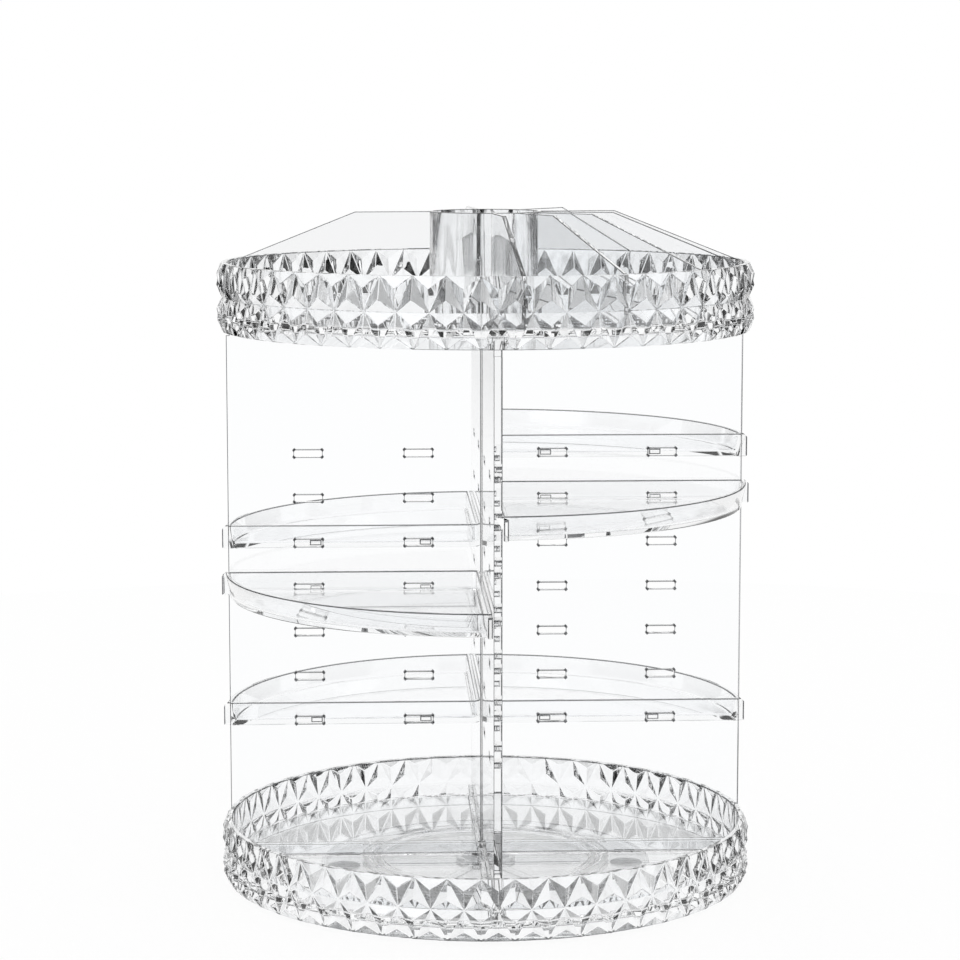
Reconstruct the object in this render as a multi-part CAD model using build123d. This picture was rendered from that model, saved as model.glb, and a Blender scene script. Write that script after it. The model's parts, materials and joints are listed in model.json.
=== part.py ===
from build123d import *
from math import cos, radians, sin, sqrt
import os

# A round carousel for small bottles. Millimetres, +Z up, the table at z = 0, the turning axis on Z.
# The front of the object is -Y, its right is +X.

# Crystal-cut rims
rim_node_radius = 113.0  # radius of the grid points where the small pyramids meet
facet_rise = 2.0  # how far each pyramid's point stands out past them
rim_cells = 52  # pyramids side by side in one row, a multiple of four
rim_wall = 2.6  # wall behind the grid points
base_rim_height = 25.6
top_rim_height = 29.0
base_rim_lift = 2.0  # table to the lower edge of the base rim
rim_gap = 212.7  # upper edge of the base rim to the lower edge of the top rim
floor_lift = 5.2  # lower edge of a rim to the underside of its floor
floor_thickness = 2.2

# Upright panels
panel_thickness = 3.5
panel_inset = 1.8  # a rim's grid points to the panel's outer edge, between the rims
panel_centre_gap = 0.25  # each panel's inner edge to the face of its neighbour
shoulder_gap = 2.6  # a rim's edge to the shoulder where the panel narrows
tongue_gap = 0.5  # narrowed end to the inside of a rim
slot_length = 12.0
slot_height = 3.0
slot_corner = 0.8
inner_slot_radius = 29.0  # axis to the middle of the inner column of slots
outer_slot_radius = 76.5
lowest_slot = 60.1  # base floor to the middle of the lowest slot
slot_pitch = 19.5
slot_rows = 7

# Channels that hold the panels' ends
channel_wall = 1.5
channel_depth = 5.0
channel_gap = 0.15  # panel face to channel wall
channel_end_gap = 2.0  # channel's outer end to the inside of the rim

# Quarter-round shelf trays
tray_lip_inset = 0.6  # a rim's grid points to the tray's upper edge
tray_flare = 2.0  # how much narrower the lower edge is
tray_height = 10.0
tray_wall = 2.0
tray_floor = 2.0
tray_panel_gap = 0.4  # straight wall to panel face
tray_corner = 4.0
tray_outer_corner = 2.5
ear_overhang = 1.6  # how far each straight wall stands out past the upper edge
ear_chamfer = 1.6
peg_width = 5.0
peg_height = 2.4
peg_rise = 2.5  # underside of a tray to the middle of its pegs
peg_end_gap = 0.5  # peg to the inner end of its slot
peg_tip_gap = 0.2  # peg tip to the middle plane of the panel

# Brush well and vanes in the top tray
well_radius = 24.0
well_wall = 1.6
well_floor = 1.6
vane_thickness = 1.8
vane_rise = 21.2  # top of the vanes above the top rim
vane_flat_radius = 56.0  # the tops slope down from here to the rim
vane_end_gap = 0.6  # vane to the inside of the rim
vane_step = 22.5
vane_start = -84.7  # first vane, in degrees from +X
vane_steps = (0, 1, 2, 3, 4, 6, 8, 12)

# Turntable under the base tray
foot_lift = 0.6  # table to the underside of the foot
foot_radius = 72.0
foot_thickness = 2.4
foot_lip_width = 2.0
foot_lip_height = 1.6
pad_radius = 7.0
pad_circle = 62.0
pad_thickness = 1.1
pad_count = 6
pad_side_gap = 0.1
ball_radius = 1.75
ball_circle = 50.0
ball_count = 18
ball_gap = 0.15  # ball to its races and to its hole in the cage
race_groove_depth = 0.55  # how far a ball sinks below the edge of its groove
race_ring_width = 8.0
cage_width = 8.0
cage_thickness = 0.9
hub_wall = 7.0
hub_top_gap = 0.3  # hub to the underside of the base floor
rib_count = 6
rib_thickness = 2.0
rib_height = 2.0
rib_end_gap = 4.0  # rib end to the edge of the ball groove's ring
boss_radius = 6.0
boss_length = 4.0  # underside of the base floor to the washer
boss_running_gap = 0.06
washer_radius = 9.5
washer_thickness = 1.0
washer_seat_gap = 0.2  # washer to the hub above it
recess_gap = 1.0  # washer edge to the wall of its recess
screw_radius = 1.5
screw_bite = 0.05  # how far the thread cuts into the boss
screw_head_radius = 3.2
screw_head_height = 1.1
screw_driver_reach = 1.9  # middle of the head to the end of each arm of the cross
screw_driver_width = 1.0
screw_driver_depth = 0.5
screw_roof = 1.2  # floor left above the screw's hole
screw_tip_gap = 0.6
washer_hole_gap = 0.2

# Heights and radii that follow from the values above
base_floor_under = base_rim_lift + floor_lift
base_floor_top = base_floor_under + floor_thickness
base_rim_top = base_rim_lift + base_rim_height
top_rim_foot = base_rim_top + rim_gap
top_floor_under = top_rim_foot + floor_lift
top_floor_top = top_floor_under + floor_thickness
top_rim_top = top_rim_foot + top_rim_height
rim_inner_radius = rim_node_radius - rim_wall
apex_radius = rim_node_radius + facet_rise
panel_reach = rim_node_radius - panel_inset
panel_face = panel_thickness / 2
slot_radii = (inner_slot_radius, outer_slot_radius)
channel_face = panel_face + channel_gap
tray_face = panel_face + tray_panel_gap
tray_lip_radius = rim_node_radius - tray_lip_inset
ear_reach = tray_lip_radius + ear_overhang
foot_top = foot_lift + foot_thickness
ball_height = foot_top + ball_radius - race_groove_depth
race_ring_foot = ball_height + ball_radius - race_groove_depth
washer_top = base_floor_under - boss_length

QUARTER = 90
PANELS = {"right_panel": 0, "rear_panel": 1, "left_panel": 2, "front_panel": 3}
# Each shelf tray: the quarter it hangs in, counted from the rear right, and its row of slots
TRAYS = {
    "rear_right_tray": (0, 6),
    "rear_left_tray": (1, 4),
    "front_left_tray": (2, 3),
    "front_right_tray": (3, 5),
    "rear_right_low_tray": (0, 0),
    "rear_left_low_tray": (1, 0),
}


def slab(x, y, z):
    """Box between two corners, each given as (low, high) pairs."""
    size = (x[1] - x[0], y[1] - y[0], z[1] - z[0])
    middle = ((x[0] + x[1]) / 2, (y[0] + y[1]) / 2, (z[0] + z[1]) / 2)
    return Pos(*middle) * Box(*size)


def disc(radius, low, high):
    """Upright cylinder on the axis from one height to another."""
    return Pos(0, 0, (low + high) / 2) * Cylinder(radius, high - low)


def ring(outer, inner, low, high):
    """Upright tube on the axis."""
    return disc(outer, low, high) - disc(inner, low, high)


def around(count, radius, shape):
    """Copies of a shape set evenly on a circle, moved out along +X first."""
    return [Rot(0, 0, 360 * i / count) * Pos(radius, 0, 0) * shape for i in range(count)]


def rim_node(step, height):
    """Grid point of the crystal pattern; a step is half a cell."""
    angle = radians(180 * step / rim_cells)
    return Vector(rim_node_radius * cos(angle), rim_node_radius * sin(angle), height)


def pyramid_faces(corners):
    """Three faces that rise from a triangle's corners to a point over its middle."""
    middle = (corners[0] + corners[1] + corners[2]) / 3
    out = apex_radius / sqrt(middle.X**2 + middle.Y**2)
    apex = Vector(middle.X * out, middle.Y * out, middle.Z)
    pairs = ((0, 1), (1, 2), (2, 0))
    return [Face(Wire.make_polygon([corners[a], corners[b], apex])) for a, b in pairs]


def crystal_puck(low, height):
    """Solid puck whose side is two rows of triangles, each a low pyramid."""
    levels = (low, low + height / 2, low + height)
    faces = []
    for lower, upper in ((0, 1), (1, 2)):
        for step in range(2 * rim_cells):
            # The middle level's points stand on even steps, the outer levels' on odd ones
            here, across = (lower, upper) if (lower + step) % 2 else (upper, lower)
            corners = (
                rim_node(step, levels[here]),
                rim_node(step + 2, levels[here]),
                rim_node(step + 1, levels[across]),
            )
            faces += pyramid_faces(corners)
    for level in (levels[0], levels[2]):
        edge = [rim_node(step, level) for step in range(1, 2 * rim_cells, 2)]
        faces.append(Face(Wire.make_polygon(edge)))
    return Solid(Shell(faces))


def round_tray(low, height):
    """Crystal-cut rim with a smooth inside, a floor, and an open skirt under the floor."""
    floor_under = low + floor_lift
    floor_top = floor_under + floor_thickness
    tray = crystal_puck(low, height)
    tray -= disc(rim_inner_radius, floor_top, low + height)
    tray -= disc(rim_inner_radius, low, floor_under)
    return tray


def cross_channel(low, high):
    """Low walls on both sides of the four panels' ends."""
    end = rim_inner_radius - channel_end_gap
    outside = channel_face + channel_wall
    wall = slab((channel_face, end), (channel_face, outside), (low, high))
    wall += slab((channel_face, outside), (channel_face, end), (low, high))
    return [Rot(0, 0, QUARTER * i) * wall for i in range(4)]


def ball_groove(radius):
    """Ring of round section that clears the balls of the race."""
    return Pos(0, 0, ball_height) * Torus(ball_circle, radius)


def base_tray():
    tray = round_tray(base_rim_lift, base_rim_height)
    tray += cross_channel(base_floor_top, base_floor_top + channel_depth)
    half_ring = race_ring_width / 2
    race = ring(ball_circle + half_ring, ball_circle - half_ring, race_ring_foot, base_floor_under)
    tray += race
    tray += disc(boss_radius, washer_top, base_floor_under)
    tray -= ball_groove(ball_radius + ball_gap)
    tray -= disc(screw_radius - screw_bite, washer_top, base_floor_top - screw_roof)
    return tray


def top_tray():
    tray = round_tray(top_rim_foot, top_rim_height)
    tray += cross_channel(top_floor_under - channel_depth, top_floor_under)
    return tray


def panel():
    """One upright panel, lying along +X."""
    inner = panel_face + panel_centre_gap
    tongue_end = rim_inner_radius - tongue_gap
    thick = (-panel_face, panel_face)
    shape = slab((inner, tongue_end), thick, (base_floor_top, top_floor_under))
    wide = (base_rim_top + shoulder_gap, top_rim_foot - shoulder_gap)
    shape += slab((inner, panel_reach), thick, wide)
    hole = extrude(RectangleRounded(slot_length, slot_height, slot_corner), panel_thickness, both=True)
    hole = Rot(QUARTER, 0, 0) * hole
    for radius in slot_radii:
        for row in range(slot_rows):
            shape -= Pos(radius, 0, slot_middle(row)) * hole
    return shape


def slot_middle(row):
    """Height of the middle of a row of slots."""
    return base_floor_top + lowest_slot + slot_pitch * row


def sector(radius, face, inner_corner, outer_corner):
    """Quarter of a disc whose straight sides stand off the axes, with rounded corners."""
    quarter = Circle(radius) & Pos(face + radius / 2, face + radius / 2) * Rectangle(radius, radius)
    corners = quarter.vertices().sort_by_distance((0, 0))
    quarter = fillet(corners[0], inner_corner)
    ends = quarter.vertices().sort_by_distance((0, 0))[-2:]
    return fillet(ends, outer_corner)


def shelf_tray():
    """Quarter-round tray with a low flared rim, its underside at z = 0."""
    low_radius = tray_lip_radius - tray_flare
    outside = loft(
        [
            sector(low_radius, tray_face, tray_corner, tray_outer_corner),
            Pos(0, 0, tray_height) * sector(tray_lip_radius, tray_face, tray_corner, tray_outer_corner),
        ],
        ruled=True,
    )
    face = tray_face + tray_wall
    corner = tray_corner - tray_wall
    outer_corner = tray_outer_corner - tray_wall
    floor_radius = low_radius + tray_flare * tray_floor / tray_height - tray_wall
    inside = loft(
        [
            Pos(0, 0, tray_floor) * sector(floor_radius, face, corner, outer_corner),
            Pos(0, 0, tray_height) * sector(tray_lip_radius - tray_wall, face, corner, outer_corner),
        ],
        ruled=True,
    )
    return outside - inside + tray_ears() + tray_pegs()


def both_sides(shape):
    """A shape beside +X and its mirror image beside +Y."""
    return [shape, mirror(shape, Plane((0, 0, 0), x_dir=(0, 0, 1), z_dir=(1, -1, 0)))]


def tray_ears():
    """Ends of the two straight walls, which stand out past the curved rim."""
    start = tray_lip_radius - tray_flare - tray_outer_corner - tray_wall
    ear = slab((start, ear_reach), (tray_face, tray_face + tray_wall), (0, tray_height))
    tip = ear.edges().filter_by(Axis.Y).group_by(Axis.X)[-1].sort_by(Axis.Z)[-1]
    return both_sides(chamfer(tip, ear_chamfer))


def tray_pegs():
    """Pegs that rest in the panels' slots."""
    pegs = []
    low = peg_rise - peg_height / 2
    for radius in slot_radii:
        start = radius - slot_length / 2 + peg_end_gap
        out = (peg_tip_gap, tray_face + tray_wall / 2)
        peg = slab((start, start + peg_width), out, (low, low + peg_height))
        pegs += both_sides(peg)
    return pegs


def divider_insert():
    """Brush well with vanes round it, standing on the top tray's floor."""
    top = top_rim_top + vane_rise
    insert = disc(well_radius, top_floor_top, top)
    insert -= disc(well_radius - well_wall, top_floor_top + well_floor, top)
    start = well_radius - well_wall / 2
    end = rim_inner_radius - vane_end_gap
    outline = Polyline(
        (start, top_floor_top),
        (end, top_floor_top),
        (end, top_rim_top),
        (vane_flat_radius, top),
        (start, top),
        close=True,
    )
    vane = Rot(QUARTER, 0, 0) * extrude(make_face(outline), vane_thickness / 2, both=True)
    return insert + [Rot(0, 0, vane_start + vane_step * step) * vane for step in vane_steps]


def turntable_foot():
    """Plate that stands on the table, with the lower ball groove and the hub the boss turns in."""
    hub_hole = boss_radius + boss_running_gap
    hub_radius = hub_hole + hub_wall
    hub_top = base_floor_under - hub_top_gap
    recess_radius = washer_radius + recess_gap
    foot = disc(foot_radius, foot_lift, foot_top)
    foot += ring(foot_radius, foot_radius - foot_lip_width, foot_top, foot_top + foot_lip_height)
    foot += disc(hub_radius, foot_lift, hub_top)
    rib_end = ball_circle - race_ring_width / 2 - rib_end_gap
    rib = slab((0, rib_end), (-rib_thickness / 2, rib_thickness / 2), (foot_top, foot_top + rib_height))
    foot += around(rib_count, 0, rib)
    foot -= ball_groove(ball_radius + ball_gap)
    foot -= disc(hub_hole, foot_lift, hub_top)
    foot -= disc(recess_radius, foot_lift, washer_top + washer_seat_gap)
    seat = disc(pad_radius + pad_side_gap, foot_lift, pad_thickness)
    return foot - around(pad_count, pad_circle, seat)


def foot_pads():
    return Compound(children=around(pad_count, pad_circle, disc(pad_radius, 0, pad_thickness)))


def bearing_balls():
    ball = Pos(0, 0, ball_height) * Sphere(ball_radius)
    return Compound(children=around(ball_count, ball_circle, ball))


def ball_cage():
    half = cage_width / 2
    low = ball_height - cage_thickness / 2
    high = low + cage_thickness
    cage = ring(ball_circle + half, ball_circle - half, low, high)
    return cage - around(ball_count, ball_circle, disc(ball_radius + ball_gap, low, high))


def pivot_washer():
    return ring(washer_radius, screw_radius + washer_hole_gap, washer_top - washer_thickness, washer_top)


def pivot_screw():
    """Pan-head screw driven up through the washer into the boss."""
    seat = washer_top - washer_thickness
    head_foot = seat - screw_head_height
    screw = disc(screw_head_radius, head_foot, seat)
    screw += disc(screw_radius, seat, base_floor_top - screw_roof - screw_tip_gap)
    half = screw_driver_width / 2
    arm = (-screw_driver_reach, screw_driver_reach)
    depth = (head_foot, head_foot + screw_driver_depth)
    screw -= slab(arm, (-half, half), depth)
    screw -= slab((-half, half), arm, depth)
    return screw


def write(name, shape):
    export_step(shape, os.path.join("parts", name + ".step"))


def build():
    os.makedirs("parts", exist_ok=True)
    write("base_tray", base_tray())
    write("top_tray", top_tray())
    write("divider_insert", divider_insert())
    upright = panel()
    for name, quarter in PANELS.items():
        write(name, Rot(0, 0, QUARTER * quarter) * upright)
    tray = shelf_tray()
    for name, (quarter, row) in TRAYS.items():
        height = slot_middle(row) - peg_rise
        write(name, Pos(0, 0, height) * Rot(0, 0, QUARTER * quarter) * tray)
    write("turntable_foot", turntable_foot())
    write("foot_pads", foot_pads())
    write("bearing_balls", bearing_balls())
    write("ball_cage", ball_cage())
    write("pivot_washer", pivot_washer())
    write("pivot_screw", pivot_screw())


build()
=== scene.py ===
"""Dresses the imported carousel: clear moulded plastic, a steel ball race and rubber pads, in a pale studio.

Metres, +Z up, the turning axis on Z, the front towards -Y. Heights and radii that the frame holds are read
from it; the rest are the makers' sizes in the classes below.
"""

import json
import logging
import math
from dataclasses import dataclass
from enum import Enum
from typing import Callable, Iterable, Sequence

import bmesh
import bpy
from mathutils import Matrix, Vector

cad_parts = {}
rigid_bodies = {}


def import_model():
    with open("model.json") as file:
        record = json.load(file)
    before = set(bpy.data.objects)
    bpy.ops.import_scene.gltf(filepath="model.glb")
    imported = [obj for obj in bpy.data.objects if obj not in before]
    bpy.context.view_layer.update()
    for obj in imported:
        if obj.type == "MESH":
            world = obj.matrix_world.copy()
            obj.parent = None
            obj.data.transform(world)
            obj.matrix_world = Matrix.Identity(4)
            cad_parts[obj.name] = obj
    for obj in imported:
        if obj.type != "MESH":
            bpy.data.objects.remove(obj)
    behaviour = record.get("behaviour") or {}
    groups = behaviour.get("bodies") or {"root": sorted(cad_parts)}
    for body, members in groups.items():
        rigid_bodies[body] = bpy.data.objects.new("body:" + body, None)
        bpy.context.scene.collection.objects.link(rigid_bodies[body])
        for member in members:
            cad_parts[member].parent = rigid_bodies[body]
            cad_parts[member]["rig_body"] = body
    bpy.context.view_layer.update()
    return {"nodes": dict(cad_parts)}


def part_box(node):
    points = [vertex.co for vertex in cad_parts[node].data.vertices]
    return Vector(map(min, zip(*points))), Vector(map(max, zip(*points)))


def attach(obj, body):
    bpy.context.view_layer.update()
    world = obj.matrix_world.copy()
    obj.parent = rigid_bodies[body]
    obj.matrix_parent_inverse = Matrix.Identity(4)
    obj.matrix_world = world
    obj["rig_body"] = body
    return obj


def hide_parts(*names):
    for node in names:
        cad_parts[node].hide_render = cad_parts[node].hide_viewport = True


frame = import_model()

LOG = logging.getLogger("carousel")
Pair = tuple[float, float]
Color = tuple[float, float, float, float]
Node = bpy.types.Node
Socket = bpy.types.NodeSocket
Inputs = dict[str | int, Socket | float | Color]
Face = bmesh.types.BMFace
Edge = bmesh.types.BMEdge
Vert = bmesh.types.BMVert

MM = 0.001
UP = Vector((0.0, 0.0, 1.0))
ORIGIN = Vector((0.0, 0.0, 0.0))
FULL_TURN = 2.0 * math.pi
QUARTER_TURN = math.pi / 2.0
WHITE: Color = (1.0, 1.0, 1.0, 1.0)
# The side of the square photograph in pixels, as in the camera's focal length and axis column.
IMAGE_SIDE = 960.0
# Corners that lie nearer than this are one corner.
WELD = 0.002 * MM
# The angle between two faces, in degrees: sharp edges have more, and edges that are shaded smooth have less.
SHARP_ANGLE = 30.0
SMOOTH_ANGLE = 40.0
# The part of a unit vector that lies along a line: more makes a face level, or makes an edge follow the line.
LEVEL = 0.999
ALONG = 0.9


class Quarter(Enum):
    """The quarter that a shelf tray hangs in, as quarter turns from the rear right."""

    REAR_RIGHT = 0
    REAR_LEFT = 1
    FRONT_LEFT = 2
    FRONT_RIGHT = 3


class Side(Enum):
    """The way that an upright panel points, as quarter turns from the right."""

    RIGHT = 0
    REAR = 1
    LEFT = 2
    FRONT = 3


class Facing(Enum):
    """Which side of a floor an open hollow lies on, as the sign of its height."""

    UPPER = 1
    UNDER = -1


class Skin(Enum):
    """What a face of a clear piece belongs to, as the slot of its material."""

    WALL = 0
    # Rounded outer edges, whose material is painted near-black: painted shade.
    EDGE = 1
    FACET = 2


class NodeGraph:
    """A node tree in the making: adds nodes, sets their values and links them."""

    def __init__(self, tree: bpy.types.NodeTree) -> None:
        """Takes the tree."""
        self.nodes, self.links = tree.nodes, tree.links

    def feed(self, node: Node, inputs: Inputs) -> None:
        """Links or sets some inputs of a node.

        Args:
            node: The node.
            inputs: The socket to link or the value to set, by the input's name or number.
        """
        for name, value in inputs.items():
            if isinstance(value, Socket):
                self.links.new(value, node.inputs[name])
            else:
                node.inputs[name].default_value = value

    def add(self, kind: str, inputs: Inputs | None = None) -> Node:
        """Adds a node.

        Args:
            kind: The node's type.
            inputs: What its inputs are fed, as for feed.

        Returns:
            The node.
        """
        node = self.nodes.new(kind)
        self.feed(node, inputs or {})
        return node

    def math(self, operation: str, *values: Socket | float) -> Socket:
        """Adds a Math node.

        Args:
            operation: What it works out.
            values: The sockets or numbers that it takes, in order.

        Returns:
            Its result.
        """
        node = self.nodes.new("ShaderNodeMath")
        node.operation = operation
        self.feed(node, dict(enumerate(values)))
        return node.outputs["Value"]

    def mix_colors(self, share: Socket, first: Socket | Color, second: Socket | Color) -> Socket:
        """Mixes two colours.

        Args:
            share: The share of the second one.
            first: The colour at a share of 0.
            second: The colour at a share of 1.

        Returns:
            The mixed colour.
        """
        node = self.nodes.new("ShaderNodeMix")
        node.data_type = "RGBA"
        self.feed(node, {"Factor": share, "A": first, "B": second})
        return node.outputs["Result"]

    def show_mix(self, share: Socket, first: Socket, second: Socket) -> None:
        """Makes a mix of two shaders the material's surface.

        Args:
            share: The share of the second one.
            first: The shader at a share of 0.
            second: The shader at a share of 1.
        """
        mix = self.add("ShaderNodeMixShader", {"Fac": share, 1: first, 2: second})
        self.feed(self.nodes["Material Output"], {"Surface": mix.outputs["Shader"]})


def new_material(name: str) -> tuple[bpy.types.Material, NodeGraph, Node]:
    """Makes a material.

    Args:
        name: The material's name.

    Returns:
        The material, its graph and its shader.
    """
    made = bpy.data.materials.new(name)
    made.use_nodes = True
    graph = NodeGraph(made.node_tree)
    return made, graph, graph.nodes["Principled BSDF"]


@dataclass(frozen=True)
class SurfaceGroup:
    """The surface of a moulding, as a shader group with one vector in and a height and a roughness out.

    Flow is the surface's slow waviness. Haze is its roughness, which varies from place to place.
    """

    name: str = "moulded_surface"
    flow_detail: float = 2.0
    flow_distortion: float = 0.6
    haze_scale: float = 45.0
    haze_detail: float = 6.0
    haze_from: Pair = (0.35, 0.75)

    def tree(self) -> bpy.types.NodeTree:
        """Builds the group, or gives it back if it is there.

        Returns:
            The group's node tree.
        """
        if self.name in bpy.data.node_groups:
            return bpy.data.node_groups[self.name]
        tree = bpy.data.node_groups.new(self.name, "ShaderNodeTree")
        tree.interface.new_socket("Vector", in_out="INPUT", socket_type="NodeSocketVector")
        for name in ("Flow Scale", "Flow Height", "Haze Low", "Haze High"):
            tree.interface.new_socket(name, in_out="INPUT", socket_type="NodeSocketFloat")
        for name in ("Height", "Roughness"):
            tree.interface.new_socket(name, in_out="OUTPUT", socket_type="NodeSocketFloat")
        graph = NodeGraph(tree)
        given = graph.add("NodeGroupInput").outputs
        flow = graph.add("ShaderNodeTexNoise", {
            "Vector": given["Vector"], "Scale": given["Flow Scale"],
            "Detail": self.flow_detail, "Distortion": self.flow_distortion,
        })
        haze = graph.add("ShaderNodeTexNoise", {
            "Vector": given["Vector"], "Scale": self.haze_scale, "Detail": self.haze_detail,
        })
        spread = graph.add("ShaderNodeMapRange", {
            "Value": haze.outputs["Fac"], "From Min": self.haze_from[0], "From Max": self.haze_from[1],
            "To Min": given["Haze Low"], "To Max": given["Haze High"],
        })
        height = graph.math("MULTIPLY", flow.outputs["Fac"], given["Flow Height"])
        graph.add("NodeGroupOutput", {"Height": height, "Roughness": spread.outputs["Result"]})
        return tree

    def dress(self, graph: NodeGraph, shader: Node, flow: Pair, haze: Pair, bump_depth: float) -> Socket:
        """Places the group in a material, for its shader's roughness and normal.

        Args:
            graph: The material's graph.
            shader: The shader.
            flow: The scale and the height of the flow.
            haze: The least and the greatest roughness.
            bump_depth: How deep a flow height of 1 looks.

        Returns:
            The height of the flow.
        """
        surface = graph.nodes.new("ShaderNodeGroup")
        surface.node_tree = self.tree()
        graph.feed(surface, {
            "Vector": graph.add("ShaderNodeTexCoord").outputs["Object"],
            "Flow Scale": flow[0], "Flow Height": flow[1], "Haze Low": haze[0], "Haze High": haze[1],
        })
        height = surface.outputs["Height"]
        bump = graph.add("ShaderNodeBump", {"Distance": bump_depth, "Height": height})
        graph.feed(shader, {"Roughness": surface.outputs["Roughness"], "Normal": bump.outputs["Normal"]})
        return height


@dataclass(frozen=True)
class ClearPlastic:
    """Clear moulded plastic that lets lamps through, with rounded edges in painted shade, dark against white.

    A ray that was turned back most_turns times inside goes straight out, which keeps the edges of thin sheet
    light. So does a shadow ray, and both are tinted by shade. Cut facets may take a slight haze of their
    own, facet_haze.
    """

    slot: str
    tint: Color = (0.985, 0.99, 0.995, 1.0)
    # A near-black colour painted on the rounded edges: painted shade, in place of the darkening that
    # refraction gives.
    edge_painted_shade: Color = (0.03, 0.031, 0.033, 1.0)
    index: float = 1.5
    flow_scale: float = 14.0
    flow_height: float = 0.4
    haze: Pair = (0.0, 0.0)
    facet_haze: Pair | None = None
    bump_depth: float = 0.02 * MM
    shade: Color = (0.97, 0.97, 0.97, 1.0)
    most_turns: int = 48

    def materials(self) -> list[bpy.types.Material]:
        """Gives the finish of the walls, of the rounded edges in painted near-black shade and, if it has one,
        of the cut facets.

        Returns:
            The materials, in the order of a mesh's slots.
        """
        made = [
            self.material("finish", self.tint, self.haze),
            # The rounded edges' material, painted near-black as painted shade.
            self.material("edge", self.edge_painted_shade, self.haze),
        ]
        if self.facet_haze is not None:
            made.append(self.material("facet", self.tint, self.facet_haze))
        return made

    def material(self, kind: str, tint: Color, haze: Pair) -> bpy.types.Material:
        """Builds one finish, or gives it back if it is there.

        Args:
            kind: What the finish is for.
            tint: The colour that light takes on in passing, which for the rounded edges is a painted
                near-black shade.
            haze: The least and the greatest roughness.

        Returns:
            The material, named after the record's slot.
        """
        name = self.slot + "_" + kind
        if name in bpy.data.materials:
            return bpy.data.materials[name]
        made, graph, shader = new_material(name)
        graph.feed(shader, {"Base Color": tint, "IOR": self.index, "Transmission Weight": 1.0})
        SurfaceGroup().dress(graph, shader, (self.flow_scale, self.flow_height), haze, self.bump_depth)
        light = graph.add("ShaderNodeLightPath").outputs
        turned = graph.math("GREATER_THAN", light["Glossy Depth"], self.most_turns - 0.5)
        passing = graph.math("MAXIMUM", turned, light["Is Shadow Ray"])
        through = graph.add("ShaderNodeBsdfTransparent", {"Color": self.shade})
        graph.show_mix(passing, shader.outputs["BSDF"], through.outputs["BSDF"])
        return made


@dataclass(frozen=True)
class SolidFinish:
    """An opaque finish: steel, nylon or rubber."""

    slot: str
    color: Color
    metallic: float = 0.0
    haze: Pair = (0.2, 0.4)
    flow_scale: float = 60.0
    flow_height: float = 0.5
    bump_depth: float = 0.03 * MM
    darker: float = 0.86

    def materials(self) -> list[bpy.types.Material]:
        """Builds the finish, or gives it back if it is there.

        Returns:
            The one material, named after the record's slot.
        """
        name = self.slot + "_finish"
        if name in bpy.data.materials:
            return [bpy.data.materials[name]]
        made, graph, shader = new_material(name)
        flow = self.flow_scale, self.flow_height
        height = SurfaceGroup().dress(graph, shader, flow, self.haze, self.bump_depth)
        dark = tuple(self.darker * part for part in self.color[:3]) + (1.0,)
        tone = graph.mix_colors(height, self.color, dark)
        graph.feed(shader, {"Metallic": self.metallic, "Base Color": tone})
        return [made]


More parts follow.
